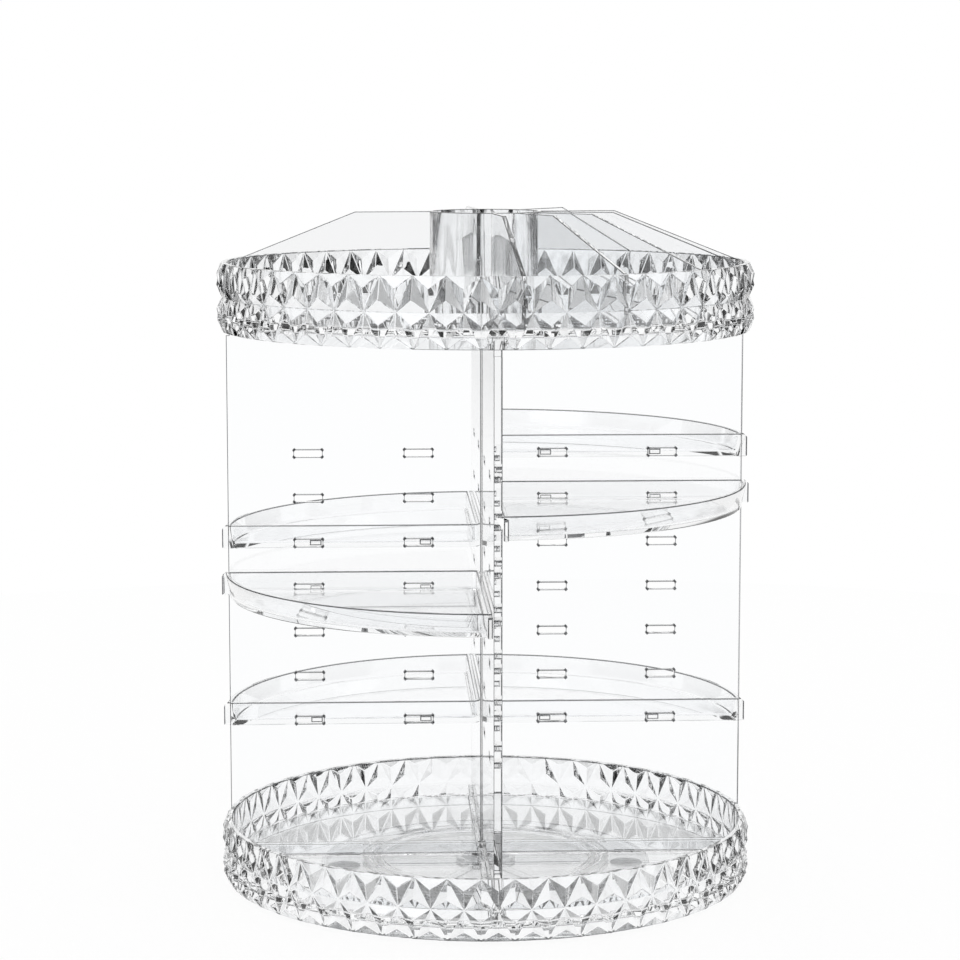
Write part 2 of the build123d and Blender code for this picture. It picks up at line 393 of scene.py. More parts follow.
class Workpiece:
    """A mesh in the making, shaped by operators and then handed over as a finished piece."""

    def __init__(self) -> None:
        """Starts an empty mesh."""
        self.bm = bmesh.new()

    def spin_profile(self, points: Sequence[Pair], steps: int, start: float = 0.0) -> None:
        """Turns an open profile once round the axis.

        Args:
            points: Radius and height of each point of the profile.
            steps: Flats in the full turn.
            start: Angle of the first flat's edge.
        """
        turn = Matrix.Rotation(start, 3, "Z")
        verts = [self.bm.verts.new(turn @ Vector((radius, 0.0, height))) for radius, height in points]
        edges = [self.bm.edges.new(pair) for pair in zip(verts, verts[1:])]
        bmesh.ops.spin(
            self.bm, geom=verts + edges, cent=ORIGIN, axis=UP, dvec=ORIGIN, angle=FULL_TURN,
            steps=steps, use_merge=True, use_normal_flip=False, use_duplicate=False,
        )

    def ring_edges(self, radius: float, height: float) -> list[Edge]:
        """Finds the open edges of a ring.

        Args:
            radius: The ring's radius, to a tenth of a millimetre.
            height: The ring's height.

        Returns:
            The edges that lie on the ring and border one face at most.
        """
        near = 0.1 * MM

        def on_ring(vert: Vert) -> bool:
            """True for a corner on the ring."""
            return abs(vert.co.z - height) < near and abs(vert.co.xy.length - radius) < near

        return [e for e in self.bm.edges if len(e.link_faces) < 2 and all(on_ring(v) for v in e.verts)]

    def close_ring(self, height: float) -> None:
        """Fills the flat ring between two open loops.

        Args:
            height: The loops' height.
        """
        edges = [
            e for e in self.bm.edges
            if len(e.link_faces) == 1 and all(abs(v.co.z - height) < WELD for v in e.verts)
        ]
        bmesh.ops.triangle_fill(self.bm, use_beauty=True, use_dissolve=False, edges=edges)

    def fill_disc(self, edges: Iterable[Edge]) -> Face:
        """Closes an edge loop with one flat face and gives that face."""
        return bmesh.ops.contextual_create(self.bm, geom=list(edges))["faces"][0]

    def cut(self, faces: Sequence[Face], point: Vector, normal: Vector) -> list[Face]:
        """Cuts faces with a plane.

        Args:
            faces: The faces to cut.
            point: A point on the plane.
            normal: The plane's normal.

        Returns:
            All faces that the given ones became.
        """
        geom = dict.fromkeys(faces)
        for face in faces:
            geom.update(dict.fromkeys(face.edges))
            geom.update(dict.fromkeys(face.verts))
        done = bmesh.ops.bisect_plane(self.bm, geom=list(geom), dist=WELD, plane_co=point, plane_no=normal)
        return [f for f in done["geom"] if isinstance(f, Face) and f.is_valid]

    def raise_faces(self, faces: Sequence[Face], move: Vector) -> list[Vert]:
        """Extrudes a region of faces.

        Args:
            faces: The faces.
            move: How far and which way they are drawn out.

        Returns:
            The moved corners.
        """
        edges = dict.fromkeys(edge for face in faces for edge in face.edges)
        made = bmesh.ops.extrude_face_region(self.bm, geom=[*faces, *edges])["geom"]
        verts = [v for v in made if isinstance(v, Vert)]
        bmesh.ops.translate(self.bm, verts=verts, vec=move)
        return verts

    def bevel(self, edges: Iterable[Edge], width: float, segments: int, outer: bool = True,
              clamp: bool = True) -> None:
        """Rounds or chamfers edges; rounded strips are shaded smooth.

        Args:
            edges: The edges.
            width: How far the strip reaches from the edge.
            segments: Flats across the strip.
            outer: True for outer edges, whose rounded strips take the finish's edge material, painted
                near-black as painted shade.
            clamp: True to narrow all strips where two would overlap.
        """
        made = bmesh.ops.bevel(
            self.bm, geom=list(edges), offset=width, offset_type="OFFSET", segments=segments,
            profile=0.5, affect="EDGES", clamp_overlap=clamp, material=-1,
        )
        for face in made["faces"]:
            face.smooth = segments > 1
            # Rounded outer strips take the edge material, which is painted near-black: painted shade.
            face.material_index = (Skin.EDGE if face.smooth and outer else Skin.WALL).value

    def sharp_edges(self, where: Callable[[Edge], bool] = lambda edge: True,
                    over: float = SHARP_ANGLE) -> list[Edge]:
        """Lists the edges between faces that meet at more than an angle.

        Args:
            where: Keeps an edge if this says so.
            over: The angle, in degrees.

        Returns:
            The edges.
        """
        limit = math.radians(over)
        return [
            e for e in self.bm.edges
            if len(e.link_faces) == 2 and e.calc_face_angle(0.0) > limit and where(e)
        ]

    def weld(self, reach: float = WELD) -> None:
        """Joins corners that lie within a reach of each other and turns every face outwards."""
        bmesh.ops.remove_doubles(self.bm, verts=self.bm.verts[:], dist=reach)
        bmesh.ops.recalc_face_normals(self.bm, faces=self.bm.faces[:])

    def place(self, quarter_turns: int, lift: float = 0.0) -> None:
        """Puts the mesh in its place.

        Args:
            quarter_turns: Quarter turns that it makes about the axis.
            lift: How far it is lifted.
        """
        turn = Matrix.Rotation(quarter_turns * QUARTER_TURN, 3, "Z")
        bmesh.ops.rotate(self.bm, verts=self.bm.verts[:], cent=ORIGIN, matrix=turn)
        bmesh.ops.translate(self.bm, verts=self.bm.verts[:], vec=UP * lift)

    def hand_over(self, name: str, node: str, finish: ClearPlastic | SolidFinish) -> bpy.types.Object:
        """Makes the finished piece, which stands for a CAD node and rides on its body.

        Args:
            name: The piece's name.
            node: The CAD node that it replaces.
            finish: Its finish.

        Returns:
            The piece's object.
        """
        self.weld()
        for edge in self.bm.edges:
            edge.smooth = len(edge.link_faces) < 2 or edge.calc_face_angle(0.0) < math.radians(SMOOTH_ANGLE)
        loose = [e for e in self.bm.edges if len(e.link_faces) != 2]
        mesh = bpy.data.meshes.new(name)
        self.bm.to_mesh(mesh)
        self.bm.free()
        for material in finish.materials():
            mesh.materials.append(material)
        piece = bpy.data.objects.new(name, mesh)
        bpy.context.scene.collection.objects.link(piece)
        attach(piece, frame["nodes"][node]["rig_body"])
        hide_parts(node)
        LOG.info("%s: %d faces, %d open or doubled edges", name, len(mesh.polygons), len(loose))
        return piece


@dataclass
class CrystalTray:
    """A round tray whose side is two rows of triangles, each a low pyramid."""

    node: str
    finish: ClearPlastic
    node_radius: float = 113.0 * MM
    apex_radius: float = 115.0 * MM
    wall: float = 2.6 * MM
    cells: int = 52
    flats: int = 208
    floor_lift: float = 5.2 * MM
    floor_thickness: float = 2.2 * MM
    floor_fillet: float = 1.0 * MM
    fillet_steps: int = 4
    crystal_depth: float = 0.3 * MM
    facet_angle: float = 8.0
    facet_chamfer: float = 0.24 * MM
    lip_round: float = 0.5 * MM
    lip_segments: int = 3
    channel_near: float = 1.9 * MM
    channel_wall: float = 1.5 * MM
    channel_depth: float = 5.0 * MM
    channel_end: float = 108.4 * MM

    def __post_init__(self) -> None:
        """Reads the rim's heights from the frame and works out what follows from them."""
        low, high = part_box(self.node)
        self.low, self.high = low.z, high.z
        self.inner = self.node_radius - self.wall
        self.floor_under = self.low + self.floor_lift
        self.floor_top = self.floor_under + self.floor_thickness

    def crystal_band(self, work: Workpiece) -> None:
        """Makes one cell of the pattern, pokes its triangles out and repeats it round the rim.

        Args:
            work: The mesh.
        """
        bm = work.bm
        half = math.pi / self.cells
        middle = (self.low + self.high) / 2

        def corner(step: int, height: float) -> Vert:
            """Adds a grid point at a height, some half cells round the rim."""
            turn = Matrix.Rotation(step * half, 3, "Z")
            return bm.verts.new(turn @ Vector((self.node_radius, 0.0, height)))

        mid = corner(0, middle), corner(2, middle)
        for level in (self.low, self.high):
            edge = corner(-1, level), corner(1, level)
            bm.faces.new((mid[0], mid[1], edge[1]))
            bm.faces.new((edge[0], edge[1], mid[0]))
        for vert in bmesh.ops.poke(bm, faces=bm.faces[:])["verts"]:
            reach = self.apex_radius / vert.co.xy.length
            vert.co.x *= reach
            vert.co.y *= reach
        bmesh.ops.spin(
            bm, geom=bm.verts[:] + bm.edges[:] + bm.faces[:], cent=ORIGIN, axis=UP, dvec=ORIGIN,
            angle=FULL_TURN * (self.cells - 1) / self.cells, steps=self.cells - 1,
            use_merge=False, use_normal_flip=False, use_duplicate=True,
        )
        work.weld()

    def hollow_profile(self, facing: Facing) -> list[Pair]:
        """Draws the smooth inner wall and the fillet at the floor.

        Args:
            facing: The hollow above or below the floor.

        Returns:
            Radius and height of each point, from the rim's edge to the floor.
        """
        upper = facing is Facing.UPPER
        edge, floor = (self.high, self.floor_top) if upper else (self.low, self.floor_under)
        points = [(self.inner, edge)]
        for step in range(self.fillet_steps + 1):
            angle = QUARTER_TURN * step / self.fillet_steps
            inset = self.floor_fillet * (1.0 - math.cos(angle))
            rise = self.floor_fillet * (1.0 - math.sin(angle)) * facing.value
            points.append((self.inner - inset, floor + rise))
        return points

    def shade_turned(self, work: Workpiece, below: float = math.inf) -> None:
        """Shades the faces that aren't level smooth, inside the rim.

        Args:
            work: The mesh.
            below: The height that the faces lie under.
        """
        for face in work.bm.faces:
            middle = face.calc_center_median()
            if abs(face.normal.z) < LEVEL and middle.z < below and middle.xy.length < self.inner:
                face.smooth = True

    def hollow(self, work: Workpiece, facing: Facing, channels: bool) -> None:
        """Makes one side's inner wall and floor.

        Args:
            work: The mesh.
            facing: The hollow above or below the floor.
            channels: True where walls stand on the floor to hold the panels' ends.
        """
        profile = self.hollow_profile(facing)
        work.spin_profile(profile, self.flats)
        self.shade_turned(work)
        disc = work.fill_disc(work.ring_edges(*profile[-1]))
        disc.smooth = False
        if channels:
            self.channels(work, disc, facing)
        work.close_ring(profile[0][1])

    def channels(self, work: Workpiece, disc: Face, facing: Facing) -> None:
        """Cuts the floor into a grid and raises the cells of the four L-shaped channel walls.

        Args:
            work: The mesh.
            disc: The floor.
            facing: The side of the floor that the walls stand on.
        """
        near, far, end = self.channel_near, self.channel_near + self.channel_wall, self.channel_end
        faces = [disc]
        for axis in (Vector((1.0, 0.0, 0.0)), Vector((0.0, 1.0, 0.0))):
            for place in (-end, -far, -near, near, far, end):
                faces = work.cut(faces, axis * place, axis)
        cells = []
        for face in faces:
            middle = face.calc_center_median()
            across, along = sorted((abs(middle.x), abs(middle.y)))
            if near < across < far and along < end:
                cells.append(face)
        work.raise_faces(cells, UP * self.channel_depth * facing.value)

    def underside(self, work: Workpiece) -> None:
        """Makes the skirt and what is under the floor."""
        self.hollow(work, Facing.UNDER, channels=True)

    def topside(self, work: Workpiece) -> None:
        """Makes the tray's hollow."""
        self.hollow(work, Facing.UPPER, channels=False)

    def build(self) -> bpy.types.Object:
        """Builds the tray.

        Returns:
            The finished piece.
        """
        work = Workpiece()
        self.crystal_band(work)
        self.topside(work)
        self.underside(work)
        work.weld()
        clear = self.node_radius - self.crystal_depth

        def on_crystal(shape: Edge | Face) -> bool:
            """True for an edge or a face of the crystal pattern."""
            return all(vert.co.xy.length > clear for vert in shape.verts)

        def on_lip(edge: Edge) -> bool:
            """True for an edge where the inner wall meets the rim's top or foot."""
            level = all(min(abs(v.co.z - self.high), abs(v.co.z - self.low)) < WELD for v in edge.verts)
            return level and all(abs(v.co.xy.length - self.inner) < WELD for v in edge.verts)

        def on_channel(edge: Edge) -> bool:
            """True for an edge within the square that the channel walls reach."""
            return all(max(abs(v.co.x), abs(v.co.y)) < self.channel_end + WELD for v in edge.verts)

        work.bevel(work.sharp_edges(on_lip), self.lip_round, self.lip_segments)
        work.bevel(work.sharp_edges(on_channel), self.facet_chamfer, 1, clamp=False)
        work.bevel(work.sharp_edges(on_crystal, over=self.facet_angle), self.facet_chamfer, 1)
        for face in work.bm.faces:
            if on_crystal(face):
                face.material_index = Skin.FACET.value
        return work.hand_over(self.node + "_moulding", self.node, self.finish)


@dataclass
class BaseTray(CrystalTray):
    """The lower tray, with the upper ball race and the pivot boss under its floor."""

    race_circle: float = 50.0 * MM
    race_half_width: float = 4.0 * MM
    race_foot: float = 5.4 * MM
    groove_radius: float = 1.9 * MM
    ball_height: float = 4.2 * MM
    boss_radius: float = 6.0 * MM
    boss_foot: float = 3.2 * MM
    bore_radius: float = 1.45 * MM
    bore_top: float = 8.2 * MM
    groove_steps: int = 8

    def topside(self, work: Workpiece) -> None:
        """Makes the tray's hollow, with the channels that hold the panels."""
        self.hollow(work, Facing.UPPER, channels=True)

    def groove(self) -> list[Pair]:
        """Draws the ball groove's arc.

        Returns:
            Radius and height of each point, from the arc's outer to its inner edge.
        """
        reach = math.acos((self.race_foot - self.ball_height) / self.groove_radius)
        points = []
        for step in range(self.groove_steps + 1):
            angle = reach * (1.0 - 2.0 * step / self.groove_steps)
            radius = self.race_circle + self.groove_radius * math.sin(angle)
            points.append((radius, self.ball_height + self.groove_radius * math.cos(angle)))
        return points

    def underside(self, work: Workpiece) -> None:
        """Makes the skirt, the race ring and the boss.

        Args:
            work: The mesh.
        """
        outer = self.race_circle + self.race_half_width
        inner = self.race_circle - self.race_half_width
        work.spin_profile([
            *self.hollow_profile(Facing.UNDER),
            (outer, self.floor_under), (outer, self.race_foot),
            *self.groove(),
            (inner, self.race_foot), (inner, self.floor_under),
            (self.boss_radius, self.floor_under), (self.boss_radius, self.boss_foot),
            (self.bore_radius, self.boss_foot), (self.bore_radius, self.bore_top), (0.0, self.bore_top),
        ], self.flats)
        work.weld()
        self.shade_turned(work, below=self.floor_top)
        work.close_ring(self.low)


@dataclass
class SlottedPanel:
    """An upright panel with two columns of slots, lying along +X before it is placed."""

    side: Side
    finish: ClearPlastic
    thickness: float = 3.5 * MM
    inner_edge: float = 2.0 * MM
    tongue_end: float = 109.9 * MM
    shoulder_low: float = 30.2 * MM
    shoulder_high: float = 237.7 * MM
    slot_radii: Pair = (29.0 * MM, 76.5 * MM)
    slot_length: float = 12.0 * MM
    slot_height: float = 3.0 * MM
    slot_corner: float = 0.8 * MM
    corner_segments: int = 4
    lowest_slot: float = 69.5 * MM
    slot_pitch: float = 19.5 * MM
    slot_rows: int = 7
    contact_gap: float = 0.03 * MM
    edge_round: float = 0.25 * MM
    edge_segments: int = 2

    @property
    def node(self) -> str:
        """The CAD node that the panel stands for."""
        return self.side.name.lower() + "_panel"

    def build(self) -> bpy.types.Object:
        """Builds the panel.

        Returns:
            The finished piece.
        """
        low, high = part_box(self.node)
        reach = max(abs(low.x), abs(low.y), abs(high.x), abs(high.y))
        work = Workpiece()
        face = self.blank(work, reach, low.z + self.contact_gap, high.z - self.contact_gap)
        cells = self.cut_lines(work, [face])
        gone = [f for f in cells if self.is_open(f.calc_center_median())]
        bmesh.ops.delete(work.bm, geom=gone, context="FACES")
        work.raise_faces(work.bm.faces[:], Vector((0.0, self.thickness, 0.0)))
        work.weld()
        corners = [e for e in work.sharp_edges() if self.is_slot_corner(e)]
        work.bevel(corners, self.slot_corner, self.corner_segments)
        outline = [e for e in work.sharp_edges() if not self.crosses(e)]
        work.bevel(outline, self.edge_round, self.edge_segments)
        work.place(self.side.value)
        return work.hand_over(self.node + "_sheet", self.node, self.finish)

    def blank(self, work: Workpiece, reach: float, low: float, high: float) -> Face:
        """Makes the panel's whole outline as one upright face.

        Args:
            work: The mesh.
            reach: The outer edge's distance from the axis.
            low: The lower edge's height.
            high: The upper edge's height.

        Returns:
            The face.
        """
        verts = bmesh.ops.create_grid(work.bm, x_segments=1, y_segments=1, size=0.5)["verts"]
        bmesh.ops.rotate(work.bm, verts=verts, cent=ORIGIN, matrix=Matrix.Rotation(QUARTER_TURN, 3, "X"))
        width = reach - self.inner_edge
        bmesh.ops.scale(work.bm, verts=verts, vec=(width, 1.0, high - low))
        middle = Vector((self.inner_edge + width / 2, -self.thickness / 2, (low + high) / 2))
        bmesh.ops.translate(work.bm, verts=verts, vec=middle)
        return work.bm.faces[:][0]

    def cut_lines(self, work: Workpiece, faces: list[Face]) -> list[Face]:
        """Cuts the blank along the slots' and shoulders' lines.

        Args:
            work: The mesh.
            faces: The blank.

        Returns:
            The cells that it became.
        """
        across = [self.tongue_end]
        for radius in self.slot_radii:
            across += [radius - self.slot_length / 2, radius + self.slot_length / 2]
        upright = [self.shoulder_low, self.shoulder_high]
        for row in range(self.slot_rows):
            middle = self.lowest_slot + self.slot_pitch * row
            upright += [middle - self.slot_height / 2, middle + self.slot_height / 2]
        for place in across:
            faces = work.cut(faces, Vector((place, 0.0, 0.0)), Vector((1.0, 0.0, 0.0)))
        for place in upright:
            faces = work.cut(faces, UP * place, UP)
        return faces

    def is_open(self, middle: Vector) -> bool:
        """Tells the cells that are cut away.

        Args:
            middle: The cell's middle.

        Returns:
            True for a cell in a slot or outside a shoulder.
        """
        if middle.x > self.tongue_end and not self.shoulder_low < middle.z < self.shoulder_high:
            return True
        beside = any(abs(middle.x - radius) < self.slot_length / 2 for radius in self.slot_radii)
        row = round((middle.z - self.lowest_slot) / self.slot_pitch)
        row_middle = self.lowest_slot + self.slot_pitch * row
        return beside and 0 <= row < self.slot_rows and abs(middle.z - row_middle) < self.slot_height / 2

    def crosses(self, edge: Edge) -> bool:
        """True for an edge that runs through the sheet's thickness."""
        return abs((edge.verts[0].co - edge.verts[1].co).normalized().y) > ALONG

    def is_slot_corner(self, edge: Edge) -> bool:
        """True for an edge through the thickness at a slot's corner."""
        ends = [radius + s * self.slot_length / 2 for radius in self.slot_radii for s in (-1, 1)]
        return self.crosses(edge) and min(abs(edge.verts[0].co.x - end) for end in ends) < WELD


@dataclass
class ShelfTray:
    """A quarter-round tray with a low flared rim, ears and pegs.

    It lies in the rear right quarter, with its underside at a height of 0, before it is placed.
    """

    node: str
    quarter: Quarter
    finish: ClearPlastic
    face: float = 2.15 * MM
    wall: float = 2.0 * MM
    floor: float = 2.0 * MM
    height: float = 10.0 * MM
    low_radius: float = 110.4 * MM
    flare: float = 2.0 * MM
    corner: float = 4.0 * MM
    corner_segments: int = 6
    ear_reach: float = 114.0 * MM
    ear_chamfer: float = 1.6 * MM
    end_merge: float = 0.4 * MM
    corner_merge: float = 0.1 * MM
    peg_width: float = 5.0 * MM
    peg_height: float = 2.4 * MM
    peg_rise: float = 2.5 * MM
    peg_tip: float = 0.2 * MM
    peg_starts: Pair = (23.5 * MM, 71.0 * MM)
    arc_steps: int = 60
    edge_round: float = 0.5 * MM
    edge_segments: int = 3
    floor_fillet: float = 1.2 * MM
    fillet_segments: int = 4

    def build(self) -> bpy.types.Object:
        """Builds the tray.

        Returns:
            The finished piece.
        """
        low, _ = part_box(self.node)
        work = Workpiece()
        self.body(work)
        self.ears(work)
        self.pegs(work)
        work.weld()
        self.soften(work)
        work.place(self.quarter.value, low.z)
        return work.hand_over(self.node + "_moulding", self.node, self.finish)

    def outline(self, work: Workpiece) -> Face:
        """Draws the underside: two straight sides and an arc, with a rounded inner corner.

        Args:
            work: The mesh.

        Returns:
            The underside's one face.
        """
        bm = work.bm

        def on_arc(offset: float) -> Vector:
            """Gives the point of the arc at a distance from the panel's middle plane."""
            return Vector((math.sqrt(self.low_radius**2 - offset**2), offset, 0.0))

        first, second = on_arc(self.face), on_arc(self.face + self.wall)
        start = bm.verts.new(second)
        half = math.atan2(second.y, second.x)
        bmesh.ops.spin(
            bm, geom=[start], cent=ORIGIN, axis=UP, dvec=ORIGIN, angle=QUARTER_TURN - 2.0 * half,
            steps=self.arc_steps, use_merge=False, use_normal_flip=False, use_duplicate=False,
        )
        end = max(bm.verts, key=lambda vert: vert.co.y)
        inner = bm.verts.new((self.face, self.face, 0.0))
        ends = bm.verts.new(first), bm.verts.new((first.y, first.x, 0.0))
        for pair in ((start, ends[0]), (ends[0], inner), (inner, ends[1]), (ends[1], end)):
            bm.edges.new(pair)
        face = work.fill_disc(bm.edges[:])
        bmesh.ops.bevel(
            bm, geom=[inner], offset=self.corner, offset_type="OFFSET", segments=self.corner_segments,
            profile=0.5, affect="VERTICES", clamp_overlap=False, material=-1,
        )
        return face if face.is_valid else bm.faces[:][0]

    def flare_out(self, verts: Iterable[Vert], by: float) -> None:
        """Moves the corners on the arc away from the axis, and those of a straight wall along the wall.

        Args:
            verts: The corners; those well inside the arc stay.
            by: How far they move.
        """
        for vert in verts:
            reach = vert.co.xy.length
            if reach < self.low_radius - 2.0 * self.wall:
                continue
            axis = 0 if vert.co.x > vert.co.y else 1
            aside = vert.co[1 - axis]
            if aside < self.face + self.wall + self.end_merge:
                vert.co[axis] = math.sqrt((reach + by)**2 - aside**2)
            else:
                vert.co.xy *= (reach + by) / reach

    def body(self, work: Workpiece) -> None:
        """Raises the outline into a tray with a flared outer wall.

        Args:
            work: The mesh.
        """
        foot = self.outline(work)
        top = work.raise_faces([foot], UP * self.height)
        self.flare_out(top, self.flare)
        bmesh.ops.inset_region(
            work.bm, faces=[self.cap(work)], thickness=self.wall, depth=0.0, use_even_offset=True,
        )
        bmesh.ops.remove_doubles(work.bm, verts=self.cap(work).verts[:], dist=self.end_merge)
        depth = self.height - self.floor
        floor = work.raise_faces([self.cap(work)], UP * -depth)
        self.flare_out(floor, -self.flare * depth / self.height)
        for face in work.bm.faces:
            face.normal_update()
            middle = face.calc_center_median()
            curved = middle.xy.length > self.low_radius - 2.0 * self.wall
            clear = min(middle.x, middle.y) > self.face + self.wall
            face.smooth = abs(face.normal.z) < ALONG and curved and clear

    def cap(self, work: Workpiece) -> Face:
        """Finds the largest face at the lip's level."""
        level = [f for f in work.bm.faces if all(abs(v.co.z - self.height) < WELD for v in f.verts)]
        return max(level, key=lambda face: face.calc_area())

    def ears(self, work: Workpiece) -> None:
        """Draws the ends of the straight walls out past the curved rim.

        Args:
            work: The mesh.
        """
        for axis in (0, 1):
            other = 1 - axis
            ends = []
            for face in work.bm.faces:
                face.normal_update()
                thin = max(v.co[other] for v in face.verts) < self.face + self.wall + self.end_merge
                beyond = face.calc_center_median()[axis] > self.low_radius
                if thin and beyond and abs(face.normal[axis]) > ALONG:
                    ends.append(face)
            for vert in work.raise_faces(ends, ORIGIN):
                vert.co[axis] = self.ear_reach
                vert.co[other] = min(vert.co[other], self.face + self.wall)

    def pegs(self, work: Workpiece) -> None:
        """Cuts the pegs' outlines into the outer faces of the straight walls and draws them out.

        Args:
            work: The mesh.
        """
        low = self.peg_rise - self.peg_height / 2
        for along in (0, 1):
            out = 1 - along
            axis, away = ORIGIN.copy(), ORIGIN.copy()
            axis[along], away[out] = 1.0, -1.0
            faces = [f for f in work.bm.faces if all(abs(v.co[out] - self.face) < WELD for v in f.verts)]
            for start in self.peg_starts:
                for place in (start, start + self.peg_width):
                    faces = work.cut(faces, axis * place, axis)
            for place in (low, low + self.peg_height):
                faces = work.cut(faces, UP * place, UP)
            cells = []
            for face in faces:
                middle = face.calc_center_median()
                inside = any(start < middle[along] < start + self.peg_width for start in self.peg_starts)
                if inside and low < middle.z < low + self.peg_height:
                    cells.append(face)
            work.raise_faces(cells, away * (self.face - self.peg_tip))

    def soften(self, work: Workpiece) -> None:
        """Chamfers the ears' tips and rounds the lip, the floor's corner and the outer edges.

        Args:
            work: The mesh.
        """
        inside = self.face + self.wall / 2

        def on_lip(edge: Edge) -> bool:
            """True for an edge at the lip's level."""
            return all(v.co.z > self.height - WELD for v in edge.verts)

        def on_ear(edge: Edge) -> bool:
            """True for an edge of an ear's end."""
            return all(max(v.co.x, v.co.y) > self.ear_reach - WELD for v in edge.verts)

        def on_peg(edge: Edge) -> bool:
            """True for an edge of a peg's tip."""
            return all(min(v.co.x, v.co.y) < self.peg_tip + WELD for v in edge.verts)

        def on_floor(edge: Edge) -> bool:
            """True for an edge round the floor inside."""
            return all(min(v.co.x, v.co.y) > inside and abs(v.co.z - self.floor) < WELD for v in edge.verts)

        def on_foot(edge: Edge) -> bool:
            """True for an edge of the underside."""
            return all(v.co.z < WELD for v in edge.verts)

        work.bevel(work.sharp_edges(lambda edge: on_lip(edge) and on_ear(edge)), self.ear_chamfer, 1)
        work.weld(self.corner_merge)
        work.bevel(work.sharp_edges(on_floor), self.floor_fillet, self.fillet_segments, outer=False)
        work.bevel(work.sharp_edges(on_foot), self.edge_round, self.edge_segments, outer=False, clamp=False)
        rest = work.sharp_edges(lambda edge: on_lip(edge) or on_ear(edge) or on_peg(edge))
        work.bevel(rest, self.edge_round, self.edge_segments, clamp=False)


@dataclass
class DividerInsert:
    """The round well with the vanes about it, standing on the top tray's floor.

    The vanes' bearings are in degrees anticlockwise from the right: the first one's, and steps from there.
    """

    finish: ClearPlastic
    node: str = "divider_insert"
    radius: float = 24.0 * MM
    wall: float = 1.6 * MM
    floor: float = 1.6 * MM
    vane_thickness: float = 1.8 * MM
    vane_flat_radius: float = 56.0 * MM
    vane_end: float = 109.8 * MM
    vane_end_top: float = 269.3 * MM
    first_vane: float = -84.7
    vane_step: float = 22.5
    vane_steps: tuple[int, ...] = (0, 1, 2, 3, 4, 6, 8, 12)
    flats_per_step: int = 5
    contact_gap: float = 0.03 * MM
    edge_round: float = 0.3 * MM
    edge_segments: int = 2

    def build(self) -> bpy.types.Object:
        """Builds the insert.

        Returns:
            The finished piece.
        """
        low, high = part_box(self.node)
        bottom, top = low.z + self.contact_gap, high.z
        inner = self.radius - self.wall
        step = math.radians(self.vane_step) / self.flats_per_step
        start = math.radians(self.first_vane) - step / 2
        work = Workpiece()
        profile = [(0.0, bottom), (self.radius, bottom), (self.radius, top), (inner, top)]
        profile += [(inner, low.z + self.floor), (0.0, low.z + self.floor)]
        work.spin_profile(profile, round(FULL_TURN / step), start)
        work.weld()
        for face in work.bm.faces:
            face.smooth = abs(face.normal.z) < LEVEL
        for steps in self.vane_steps:
            self.vane(work, math.radians(self.first_vane + self.vane_step * steps))
        work.weld()
        for face in work.bm.faces:
            if face.calc_center_median().xy.length > self.radius:
                face.smooth = False
        outline = [e for e in work.sharp_edges() if not self.is_root(e)]
        work.bevel(outline, self.edge_round, self.edge_segments)
        return work.hand_over(self.node + "_moulding", self.node, self.finish)

    def vane(self, work: Workpiece, angle: float) -> None:
        """Draws one flat of the well's wall out into a vane with a sloping top.

        Args:
            work: The mesh.
            angle: The vane's bearing.
        """
        ahead = Matrix.Rotation(angle, 3, "Z") @ Vector((1.0, 0.0, 0.0))
        beside = Vector((-ahead.y, ahead.x, 0.0))
        half = self.vane_thickness / 2
        near = 0.05 * MM

        def on_wall(face: Face) -> bool:
            """True for a flat of the well's outer wall."""
            return all(abs(v.co.xy.length - self.radius) < near for v in face.verts)

        def is_ahead(middle: Vector) -> bool:
            """True for the middle of the flat that points along the vane."""
            return middle.dot(ahead) > 0.0 and abs(middle.dot(beside)) < half / 4

        face = next(f for f in work.bm.faces if on_wall(f) and is_ahead(f.calc_center_median()))
        depth = math.sqrt(self.radius**2 - half**2)
        for vert in face.verts:
            side = math.copysign(half, vert.co.dot(beside))
            vert.co.xy = (ahead * depth + beside * side).xy
        for reach in (self.vane_flat_radius, self.vane_end):
            verts = work.raise_faces([face], ahead * (reach - depth))
            depth = reach
            face = next(f for f in verts[0].link_faces if set(f.verts) == set(verts))
        top = max(vert.co.z for vert in verts)
        for vert in verts:
            if top - vert.co.z < WELD:
                vert.co.z = self.vane_end_top

    def is_root(self, edge: Edge) -> bool:
        """True for an upright edge where a vane meets the well."""
        across = (edge.verts[0].co - edge.verts[1].co).normalized()
        return abs(across.z) > ALONG and edge.verts[0].co.xy.length < self.radius + self.wall


@dataclass
class Turntable:
    """The foot, its pads, the ball race and the pivot, hidden under the base tray."""

    plastic: ClearPlastic
    steel: SolidFinish
    plated: SolidFinish
    nylon: SolidFinish
    rubber: SolidFinish
    ball_radius: float = 1.75 * MM
    ball_circle: float = 50.0 * MM
    ball_count: int = 18
    ball_height: float = 4.2 * MM
    ball_flats: tuple[int, int] = (24, 14)

    def build(self) -> None:
        """Makes the balls and dresses the CAD nodes that are kept."""
        work = Workpiece()
        for index in range(self.ball_count):
            place = Matrix.Rotation(FULL_TURN * index / self.ball_count, 4, "Z")
            place = place @ Matrix.Translation((self.ball_circle, 0.0, self.ball_height))
            bmesh.ops.create_uvsphere(
                work.bm, u_segments=self.ball_flats[0], v_segments=self.ball_flats[1],
                radius=self.ball_radius, matrix=place,
            )
        for face in work.bm.faces:
            face.smooth = True
        work.hand_over("bearing_balls_polished", "bearing_balls", self.steel)
        kept = {
            "turntable_foot": self.plastic,
            "foot_pads": self.rubber,
            "ball_cage": self.nylon,
            "pivot_washer": self.plated,
            "pivot_screw": self.plated,
        }
        for node, finish in kept.items():
            for slot in frame["nodes"][node].material_slots:
                slot.material = finish.materials()[0]
            LOG.info("%s: dressed as packed", node)


